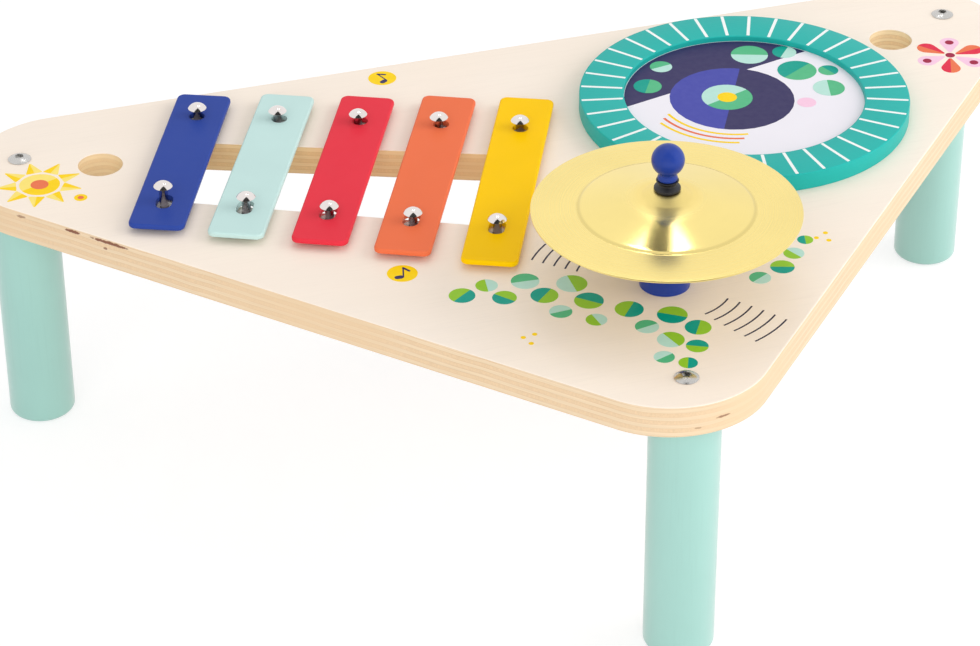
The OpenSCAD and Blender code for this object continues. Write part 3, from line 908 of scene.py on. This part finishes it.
def make_ring():
    """Wooden ring with eased edges and a rebate over the skin."""
    seat, rebate = SKIN_TOP + 0.02, SKIN_RADIUS + 0.05
    outline = rounded([
        (RING_BORE, seat, 0.1), (rebate, seat), (rebate, TOP_Z), (RING_OUTER, TOP_Z, 0.3),
        (RING_OUTER, RING_TOP, 0.7), (RING_BORE, RING_TOP, 0.7), (RING_BORE, SKIN_TOP + 1.0),
    ], 4)
    outline.append(outline[0])
    ring = smooth(coat(turned("drum_ring_painted", outline, *DRUM, 144), ring_paint))
    stands_for(ring, "drum_ring")


def make_ticks():
    """White lines across the ring, one every ten degrees."""
    inner, outer = RING_BORE + TICK_MARGIN, RING_OUTER - TICK_MARGIN
    tick = add_piece(
        "ring_ticks", bpy.ops.mesh.primitive_cube_add, size=1,
        location=((DRUM[0] + (inner + outer) / 2) * MM, DRUM[1] * MM, RING_TOP * MM),
        scale=((outer - inner) * MM, TICK_WIDTH * MM, TICK_THICKNESS * MM),
    )
    settle(tick)
    soften_edges(tick, lambda e: abs((e.verts[0].co - e.verts[1].co).normalized().z) > 0.9, 0.3, 2)
    centre = (DRUM[0] * MM, DRUM[1] * MM, 0)
    with editing(tick, "FACE"):
        bpy.ops.mesh.spin(
            dupli=True, steps=TICKS - 1, angle=math.tau * (TICKS - 1) / TICKS,
            center=centre, axis=(0, 0, 1),
        )
        bpy.ops.mesh.select_all(action="SELECT")
        turn = math.radians(TICK_START)
        bpy.ops.transform.rotate(value=-turn, orient_axis="Z", center_override=centre)
    coat(tick, inks["white"])
    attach(tick, "table")


def make_hoop():
    """Bare wooden hoop that lifts the skin, hidden inside the ring."""
    outline = rounded([
        (RING_BORE, TOP_Z, 0.4), (SKIN_RADIUS, TOP_Z, 0.4), (SKIN_RADIUS, HOOP_TOP, 0.4),
        (RING_BORE, HOOP_TOP, 0.8), (RING_BORE, TOP_Z + 1.0),
    ], 4)
    outline.append(outline[0])
    hoop = smooth(coat(turned("drum_hoop_bare", outline, *DRUM, 144), hoop_beech))
    stands_for(hoop, "drum_hoop")


def make_skin():
    """Film that sinks a hair inside the ring, as it does when it is drawn tight."""
    low, top, sunk = HOOP_TOP, SKIN_TOP, SKIN_TOP - SKIN_SAG
    outline = [(0, low + 0.05), (SKIN_RADIUS - 0.2, low + 0.05), (SKIN_RADIUS, low + 0.2)]
    outline += [(SKIN_RADIUS, top - 0.1), (SKIN_RADIUS - 0.2, top), (RING_BORE + 0.5, top)]
    outline += [(RING_BORE - 0.5, top - 0.02), (RING_BORE - 2.0, sunk), (30, sunk), (0, sunk)]
    skin = smooth(coat(turned("drum_skin_film", outline, *DRUM, 96), skin_film), 60)
    stands_for(skin, "drum_skin")


def make_screws():
    """Pan-head screws under the board that pull the ring down."""
    low, ball = UNDERSIDE_Z - SCREW_HEAD_HEIGHT, 7.0
    outline = [(0, low)] + arc(0, low + ball, ball, -90, -64, 6)
    outline += [(SCREW_HEAD - 0.1, low + 1.1), (SCREW_HEAD, UNDERSIDE_Z), (SCREW_SHANK, UNDERSIDE_Z)]
    outline += [(SCREW_SHANK, SCREW_TIP - 0.8), (0, SCREW_TIP)]
    model = turned("screw", outline, 0, 0, 32)
    arms = [
        settle(add_piece(
            "arm", bpy.ops.mesh.primitive_cube_add, size=1, rotation=(0, 0, math.radians(turn)),
            location=(0, 0, (low + 0.3) * MM), scale=(3.6 * MM, 0.9 * MM, 2.2 * MM),
        ))
        for turn in (0, 90)
    ]
    cut(model, arms)
    smooth(coat(model, bolt_steel), 35)
    for k in range(SCREWS):
        angle = math.tau * k / SCREWS
        x = DRUM[0] + SCREW_CIRCLE * math.cos(angle)
        y = DRUM[1] + SCREW_CIRCLE * math.sin(angle)
        stands_for(copied(model, f"drum_screw_{k + 1}", (x, y, 0)), "drum_screws")
    bpy.data.objects.remove(model)


# ---------------------------------------------------------------- cymbal


def make_post():
    """Painted wooden dowel with a well rounded top."""
    outline = rounded([
        (BOLT_HOLE, TOP_Z), (POST_RADIUS, TOP_Z, 0.2), (POST_RADIUS, POST_TOP, 4.0),
        (BOLT_HOLE, POST_TOP, 0.3), (BOLT_HOLE, TOP_Z),
    ], 8)
    post = smooth(coat(turned("cymbal_post_painted", outline, *POST, 72), knob_paint))
    stands_for(post, "cymbal_post")


def on_cymbal(radius, drop=0.0):
    """The point of a cymbal's section at a radius, a drop below its upper face."""
    height = CYMBAL_TOP - drop
    if radius > BOSS_EDGE:
        share = min(1.0, (radius - BOSS_EDGE) / (BOSS_FOOT - BOSS_EDGE))
        height -= BOSS_FALL * (1 - math.cos(share * math.pi)) / 2
    if radius > BOSS_FOOT:
        out = min(radius, STEP) - BOSS_FOOT
        steepening = (CONE_END_SLOPE - CONE_SLOPE) / (STEP - BOSS_FOOT)
        height -= CONE_SLOPE * out + steepening * out * out / 2
    if radius > STEP:
        height -= STEP_FALL * min(1.0, (radius - STEP) / (CREASE - STEP))
    if radius > RIM_BEND:
        height -= RIM_FALL * ((radius - RIM_BEND) / (CYMBAL_RIM - RIM_BEND)) ** 2
    return radius, height


def make_cymbal():
    """Pressed brass sheet: steep boss, long shallow cone, a small step down and a flat rim."""
    boss = [CYMBAL_HOLE, 6.4, 7.2, *range(8, 13), 12.7, 13.4, 14.2]
    cone = [16, *range(19, 38, 3), 39.5]
    rim = [50, 53, 56, 59, 62]
    step_edge, crease = on_cymbal(STEP)[1] - 0.05, on_cymbal(CREASE)[1]
    upper = [on_cymbal(radius) for radius in (*boss, *cone, 41.2)]
    upper += [(STEP, step_edge), (CREASE - 0.1, crease), (CREASE + 1.0, crease)]
    upper += [on_cymbal(radius) for radius in (46, *rim)]
    half = CYMBAL_SHEET / 2
    edge = arc(*on_cymbal(CYMBAL_RIM - half, half), half, 90, -90, 8)
    back = [*boss, *cone, STEP - 0.4, CREASE - 0.2, *rim]
    lower = [on_cymbal(radius, CYMBAL_SHEET) for radius in reversed(back)]
    outline = upper + edge + lower + [upper[0]]
    cymbal = smooth(coat(turned("cymbal_disc", outline, *POST, 128), cymbal_brass), 40)
    stands_for(cymbal, "cymbal", body="cymbal")


def make_grommet():
    """Black rubber spool: a flange under the cymbal, a bulge over it, a neck and a collar."""
    low, groove, top = GROMMET_LOW, CYMBAL_TOP + 0.4, GROMMET_TOP
    bore, waist, neck, collar, flange = 2.6, 4.2, 4.4, 5.5, 6.5
    outline = rounded([
        (bore, low), (flange, low, 0.5), (flange, low + 3.0, 0.5), (waist, low + 3.0, 0.2),
        (waist, groove, 0.2), (flange, groove, 0.4), (flange, groove + 1.6, 1.0),
        (neck, groove + 2.8, 0.5), (neck, top - 1.7, 0.3), (collar, top - 0.5, 0.2),
        (collar, top, 0.2), (bore, top), (bore, low),
    ], 4)
    grommet = smooth(coat(turned("grommet_spool", outline, *POST, 48), grommet_rubber), 50)
    stands_for(grommet, "cymbal_grommet", body="cymbal_grommet")


def make_knob():
    """Painted wooden ball on a short neck with a small foot."""
    low, bore, waist, neck, foot = KNOB_LOW, 2.55, 4.5, 4.7, 4.9
    outline = [(bore, low), (neck, low), (foot, low + 0.2), (foot, low + 1.2), (neck, low + 1.8)]
    outline += [(waist, low + 2.6), (waist, low + 3.2)]
    outline += arc(0, BALL_Z, BALL_RADIUS, -math.degrees(math.acos(neck / BALL_RADIUS)), 90, 20)
    knob = smooth(coat(turned("knob_ball", outline, *POST, 56), knob_paint), 60)
    stands_for(knob, "cymbal_knob")


def make_bolt_and_washer():
    """Hexagon bolt and washer, sunk into the underside."""
    low, seat, tip = BOLT_HEAD_LOW, WASHER_LOW, KNOB_LOW + 7.9
    ring = rounded([
        (WASHER_BORE, seat), (WASHER_RADIUS, seat, 0.25), (WASHER_RADIUS, COUNTERBORE_TOP, 0.25),
        (WASHER_BORE, COUNTERBORE_TOP), (WASHER_BORE, seat),
    ], 3)
    washer = smooth(coat(turned("bolt_washer", ring, *POST, 48), bolt_steel), 40)
    stands_for(washer, "cymbal_washer")
    outline = [(0, seat - 0.2), (BOLT_SHANK, seat - 0.2), (BOLT_SHANK, tip - 0.6)]
    outline += [(2.1, tip), (0, tip)]
    shank = turned("bolt_through_post", outline, *POST, 32)
    head = slab("head", [(*POST, BOLT_HEAD)], low, seat, 6)
    outline = [(0, low), (3.9, low), (4.7, low + 0.7), (4.7, seat), (0, seat)]
    cut(head, [turned("chamfer", outline, *POST, 48)], "INTERSECT")
    bolt = smooth(coat(join([shank, head], "bolt_through_post"), bolt_steel), 30)
    stands_for(bolt, "cymbal_bolt")


# ---------------------------------------------------------------- printing


def keep_left(shape, place, turn):
    """Cuts a shape along an upright plane at an angle, and keeps what lies to its left."""
    normal = math.radians(turn + 90)
    with editing(shape):
        bpy.ops.mesh.bisect(
            plane_co=(place[0] * MM, place[1] * MM, 0),
            plane_no=(math.cos(normal), math.sin(normal), 0),
            use_fill=True, clear_inner=True,
        )


def beyond(place, angle, distance):
    """The point at an angle and a distance from a place."""
    a = math.radians(angle)
    return place[0] + distance * math.cos(a), place[1] + distance * math.sin(a)


class Print:
    """A printed design, laid on a surface shape by shape, each a hair above the last."""

    def __init__(self, surface):
        self.surface = surface
        self.low = surface - INK_SINK
        self.shapes = []

    def height(self, layer):
        """How high the ink of a layer stands."""
        return self.surface + INK_HEIGHT + INK_LAYER * layer

    def blob(self, ink, corners, layer=1, steps=32):
        """Ink drawn tight round discs (x, y, radius)."""
        shape = slab("ink", corners, self.low, self.height(layer), steps)
        self.shapes.append(coat(shape, inks[ink]))
        return shape

    def half(self, ink, corners, turn, middle=None, layer=1, steps=32):
        """The part of a blob to the left of a line through its middle."""
        keep_left(self.blob(ink, corners, layer, steps), middle or corners[0][:2], turn)

    def two_tone(self, colours, corners, turn, middle=None, layer=1):
        """A blob with a half of either colour."""
        self.half(colours[0], corners, turn, middle, layer)
        self.half(colours[1], corners, turn + 180, middle, layer)

    def stripe(self, ink, start, end, width, layer):
        """A straight line with round ends."""
        self.blob(ink, [(*start, width / 2), (*end, width / 2)], layer, 12)

    def curve(self, ink, centre, radius, start, end, width, layer=1):
        """A thin arc, drawn as a ring and cut to its two ends."""
        inner, outer, high = radius - width / 2, radius + width / 2, self.height(layer)
        outline = [(inner, self.low), (outer, self.low), (outer, high), (inner, high)]
        outline.append(outline[0])
        shape = turned("ink", outline, *centre, 96)
        keep_left(shape, centre, start)
        keep_left(shape, centre, end + 180)
        self.shapes.append(coat(shape, inks[ink]))

    def finish(self, name, slot):
        """Joins the shapes into one piece that moves with the table."""
        piece = join(self.shapes, name)
        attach(piece, "table")


def print_sun():
    """A small sun at the left corner, with a dot beside it."""
    ink = Print(TOP_Z)
    sun, dot = (-254.0, 111.0), (-236.5, 92.0)
    disc, rays, ray_foot, ray_tip, ray_half_width = 10.4, 9, 12.5, 21.5, 3.6
    for k in range(rays):
        turn = 360 / rays * k + 12
        foot = beyond(sun, turn, ray_foot)
        corners = [
            (*beyond(foot, turn + 90, side * ray_half_width), 0.6) for side in (-1, 1)
        ]
        corners.append((*beyond(sun, turn, ray_tip), 0.6))
        ink.two_tone(("yellow", "straw"), corners, turn, sun)
    ink.blob("yellow", [(*sun, disc)])
    ink.half("straw", [(*sun, disc)], 20, layer=2)
    ink.blob("orange", [(*sun, 4.6)], 3)
    ink.blob("yellow", [(*dot, 3.4)])
    ink.blob("orange", [(*dot, 1.6)], 2)
    ink.finish("print_sun", "plywood")


def print_pinwheel():
    """A pinwheel at the right corner."""
    ink = Print(TOP_Z)
    hub, vanes = (244.0, 95.0), 6
    for k in range(vanes):
        turn = 360 / vanes * k + 8
        tip = beyond(hub, turn, 14.5)
        vane = [(*beyond(hub, turn, 4.5), 1.0), (*tip, 5.2)]
        if k % 2:
            ink.blob("pink", vane)
            ink.blob("maroon", [(*tip, 2.4)], 2)
        else:
            ink.two_tone(("orange", "red"), vane, turn, hub)
    ink.blob("maroon", [(*hub, 2.6)], 2)
    ink.finish("print_pinwheel", "plywood")


def print_beads():
    """Strings of two-tone beads round the post, and sound waves beside them."""
    ink = Print(TOP_Z)
    greens = [("lime", "teal"), ("lime", "mint"), ("teal", "lime"), ("mint", "sea")]
    left_string = [
        (-79, -55, 6.5), (-65, -50, 5.5), (-60, -63, 6.0), (-46, -52, 7.0), (-41, -67, 6.8),
        (-25, -61, 7.6), (-22, -78, 7.2), (-38, -83, 5.6), (-6, -91, 7.0), (-24, -95, 5.2),
    ]
    front_string = [
        (12, -102, 7.4), (-3, -108, 5.8), (20, -116, 6.4), (4, -122, 6.6), (14, -131, 5.4),
        (-4, -135, 5.0), (5, -143, 4.6),
    ]
    right_string = [(88, -68, 5.2), (78, -78, 6.0), (64, -84, 5.4), (98, -58, 4.0)]
    for k, bead in enumerate(left_string + front_string + right_string):
        ink.two_tone(greens[k % len(greens)], [bead], 35 + 47 * k)
    # Sound waves at the front right of the post, then at its rear left
    for k in range(6):
        ink.curve("black", POST, 33 + 6.5 * k, 286 + k, 318 - k, 0.9)
    for k in range(5):
        ink.curve("black", POST, 44 + 6.0 * k, 122 + 2 * k, 148 - k, 0.9)
    for dot in ((104, -58), (109, -62), (110, -55), (-62, -99), (-56, -98), (-60, -105)):
        ink.blob("yellow", [(*dot, 1.3)])
    ink.finish("print_beads", "plywood")


def print_notes():
    """Two round badges, each with a quaver."""
    ink = Print(TOP_Z)
    for badge, turn in (((-57.0, 165.0), 20), ((-101.0, -27.0), -15)):
        lean = Matrix.Rotation(math.radians(turn), 2)

        def at(across, up):
            return Vector(badge) + lean @ Vector((across, up))

        ink.blob("yellow", [(*badge, 7.6)])
        ink.blob("indigo", [(*at(-2.4, -3.6), 1.5), (*at(-0.8, -3.2), 1.5)], 2)
        ink.stripe("indigo", at(0.5, -3.4), at(0.5, 5.0), 0.8, 3)
        ink.stripe("indigo", at(0.5, 5.0), at(3.4, 2.2), 1.3, 4)
    ink.finish("print_notes", "plywood")


def print_skin():
    """A plain geometric design on the drum skin."""
    ink = Print(SKIN_TOP - SKIN_SAG)

    def at(dx, dy):
        return DRUM[0] + dx, DRUM[1] + dy

    ink.half("indigo", [(*DRUM, RING_BORE - 0.15)], 14, at(0, 26), 1, 96)
    ink.two_tone(("navy", "indigo"), [(*at(-6, 2), 33)], 62, layer=3)
    for k, colour in enumerate(("yellow", "orange", "yellow")):
        ink.curve(colour, at(-6, 2), 38 + 4.2 * k, 188 + 4 * k, 262 - 4 * k, 1.5, 2)
    ink.two_tone(("mint", "sea"), [(*at(-8, 4), 13.5)], 20, layer=4)
    ink.blob("yellow", [(*at(-8, 4), 5.2)], 5)
    beads = [
        (38, 20, 10.5, "teal", "sea", 30), (47, -3, 8.5, "mint", "sea", 75),
        (20, 44, 10.0, "sea", "mint", -20), (39, 41, 6.5, "teal", "mint", 50),
        (54, 15, 5.4, "sea", "teal", 110), (30, -14, 5.0, "pink", "pink", 0),
        (-44, 28, 7.5, "teal", "sea", 60), (-30, 46, 6.0, "sea", "mint", 10),
    ]
    for dx, dy, radius, first, second, turn in beads:
        ink.two_tone((first, second), [(*at(dx, dy), radius)], turn, layer=6)
    ink.finish("print_drum_skin", "skin_film")


# ---------------------------------------------------------------- studio


def make_camera():
    """A long lens at the front left, looking down on the table."""
    yaw, pitch, roll = CAMERA_YAW, CAMERA_PITCH, CAMERA_ROLL
    forward = Vector((
        math.sin(yaw) * math.cos(pitch), math.cos(yaw) * math.cos(pitch), -math.sin(pitch)
    ))
    level = Vector((math.cos(yaw), -math.sin(yaw), 0))
    upright = level.cross(forward)
    right = math.cos(roll) * level + math.sin(roll) * upright
    up = -math.sin(roll) * level + math.cos(roll) * upright
    place = Vector(CAMERA_AIM) * MM - CAMERA_DISTANCE * MM * forward
    turn = Matrix((right, up, -forward)).transposed().to_4x4()
    data = bpy.data.cameras.new("camera")
    data.sensor_width = SENSOR_WIDTH
    data.lens = CAMERA_LENS
    data.clip_start = 0.05
    data.clip_end = 50.0
    camera = bpy.data.objects.new("camera", data)
    bpy.context.collection.objects.link(camera)
    camera.matrix_world = Matrix.Translation(place) @ turn
    bpy.context.scene.camera = camera


def add_lamp(name, place, aim, size, watts, mirrored=False):
    """A flat lamp, which metal shows only where it is mirrored."""
    data = bpy.data.lights.new(name, "AREA")
    data.shape = "RECTANGLE"
    data.size, data.size_y = size
    data.energy = watts
    lamp = bpy.data.objects.new(name, data)
    bpy.context.collection.objects.link(lamp)
    lamp.location = place
    lamp.rotation_euler = (Vector(aim) - Vector(place)).to_track_quat("-Z", "Y").to_euler()
    lamp.visible_glossy = mirrored


def add_dark_card(corners):
    """A dark card that shows only in metal and gloss."""
    mesh = bpy.data.meshes.new("dark card")
    mesh.from_pydata(corners, [], [range(len(corners))])
    card = bpy.data.objects.new("dark card", mesh)
    bpy.context.collection.objects.link(card)
    card.visible_camera = card.visible_diffuse = card.visible_shadow = False
    card.visible_transmission = False
    paper = bpy.data.materials.new("black paper")
    paper.use_nodes = True
    surface = paper.node_tree.nodes["Principled BSDF"]
    surface.inputs["Base Color"].default_value = (0.03, 0.03, 0.03, 1)
    surface.inputs["Roughness"].default_value = 0.9
    card.data.materials.append(paper)


def add_reflections():
    """Two strips over the cymbal, a dark card between them, and the dark room behind the camera."""
    cymbal = Vector((*POST, CYMBAL_TOP)) * MM
    away = Vector((math.sin(CAMERA_YAW), math.cos(CAMERA_YAW), 0))
    aside = Vector((away.y, -away.x, 0))

    def seen(azimuth, rise, distance):
        around, up = math.radians(azimuth), math.radians(rise)
        level = away * math.cos(around) + aside * math.sin(around)
        return cymbal + distance * (level * math.cos(up) + Vector((0, 0, math.sin(up))))

    middle = seen(0, STRIP_RISE, STRIP_DISTANCE)
    for side in (-1, 1):
        place = middle + side * STRIP_OFFSET * aside
        add_lamp("strip lamp", place, cymbal, STRIP_SIZE, STRIP_WATTS, mirrored=True)
    add_dark_card([seen(*corner, GAP_CARD_DISTANCE) for corner in GAP_CARD])
    add_dark_card([seen(*corner, DARK_ROOM_DISTANCE) for corner in DARK_ROOM])


def joined_shaders(tree, kind, *outputs):
    """Adds a node that mixes or adds shaders, and links outputs to its sockets in order."""
    node = tree.nodes.new(kind)
    for socket, output in zip(node.inputs, outputs):
        tree.links.new(output, socket)
    return node.outputs[0]


def shader(tree, kind, **sockets):
    """Adds a shader node with its sockets set."""
    node = tree.nodes.new(kind)
    for socket, value in sockets.items():
        node.inputs[socket].default_value = value
    return node.outputs[0]


def show_background(tree, ordinary, seen):
    """Mixes two shaders: what lights the table, and what eye, metal and glass see."""
    nodes, links = tree.nodes, tree.links
    path = nodes.new("ShaderNodeLightPath")
    seen_by = path.outputs["Is Camera Ray"]
    for other in ("Is Glossy Ray", "Is Transmission Ray"):
        either = nodes.new("ShaderNodeMath")
        either.operation = "MAXIMUM"
        links.new(seen_by, either.inputs[0])
        links.new(path.outputs[other], either.inputs[1])
        seen_by = either.outputs[0]
    return joined_shaders(tree, "ShaderNodeMixShader", seen_by, ordinary, seen)


def light_room():
    """A room that lights the table softly, and that eye and metal see as plain white."""
    world = bpy.data.worlds.new("studio")
    bpy.context.scene.world = world
    world.use_nodes = True
    tree = world.node_tree
    tree.nodes.remove(tree.nodes["Background"])
    white = (1.0, 1.0, 1.0, 1.0)
    dim = shader(tree, "ShaderNodeBackground", Color=white, Strength=ROOM_LIGHT)
    plain = shader(tree, "ShaderNodeBackground", Color=white, Strength=1.0)
    tree.links.new(show_background(tree, dim, plain), tree.nodes["World Output"].inputs["Surface"])


def lay_floor():
    """White paper that keeps the table's shadow and can't be seen from below."""
    paper = bpy.data.materials.new("white paper floor")
    paper.use_nodes = True
    tree = paper.node_tree
    tree.nodes.remove(tree.nodes["Principled BSDF"])
    ordinary = shader(tree, "ShaderNodeBsdfDiffuse", Color=(0.85, 0.85, 0.85, 1))
    matt = shader(tree, "ShaderNodeBsdfDiffuse", Color=(0.4, 0.4, 0.4, 1))
    glow = shader(tree, "ShaderNodeEmission", Strength=0.68)
    clear = shader(tree, "ShaderNodeBsdfTransparent")
    lit = joined_shaders(tree, "ShaderNodeAddShader", matt, glow)
    both = show_background(tree, ordinary, lit)
    from_below = tree.nodes.new("ShaderNodeNewGeometry").outputs["Backfacing"]
    one_sided = joined_shaders(tree, "ShaderNodeMixShader", from_below, both, clear)
    tree.links.new(one_sided, tree.nodes["Material Output"].inputs["Surface"])
    low = (0, 0, -0.3 * MM)
    floor = add_piece("floor", bpy.ops.mesh.primitive_plane_add, size=12, location=low)
    floor.data.materials.append(paper)


def make_studio():
    """White surroundings and a pale floor, three soft lamps, and what the metal reflects."""
    light_room()
    for name, (place, size, watts) in SOFT_LAMPS.items():
        add_lamp(name, place, LAMP_AIM, size, watts)
    add_reflections()
    lay_floor()
    bpy.context.scene.view_settings.view_transform = "Standard"


# ---------------------------------------------------------------- making it all

make_board()
make_legs()
make_leg_bolts()
make_bars()
make_pins_and_felts()
make_ring()
make_ticks()
make_hoop()
make_skin()
make_screws()
make_post()
make_cymbal()
make_grommet()
make_knob()
make_bolt_and_washer()
print_sun()
print_pinwheel()
print_beads()
print_notes()
print_skin()
coat(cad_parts["leg_inserts"], insert_brass)
make_camera()
make_studio()
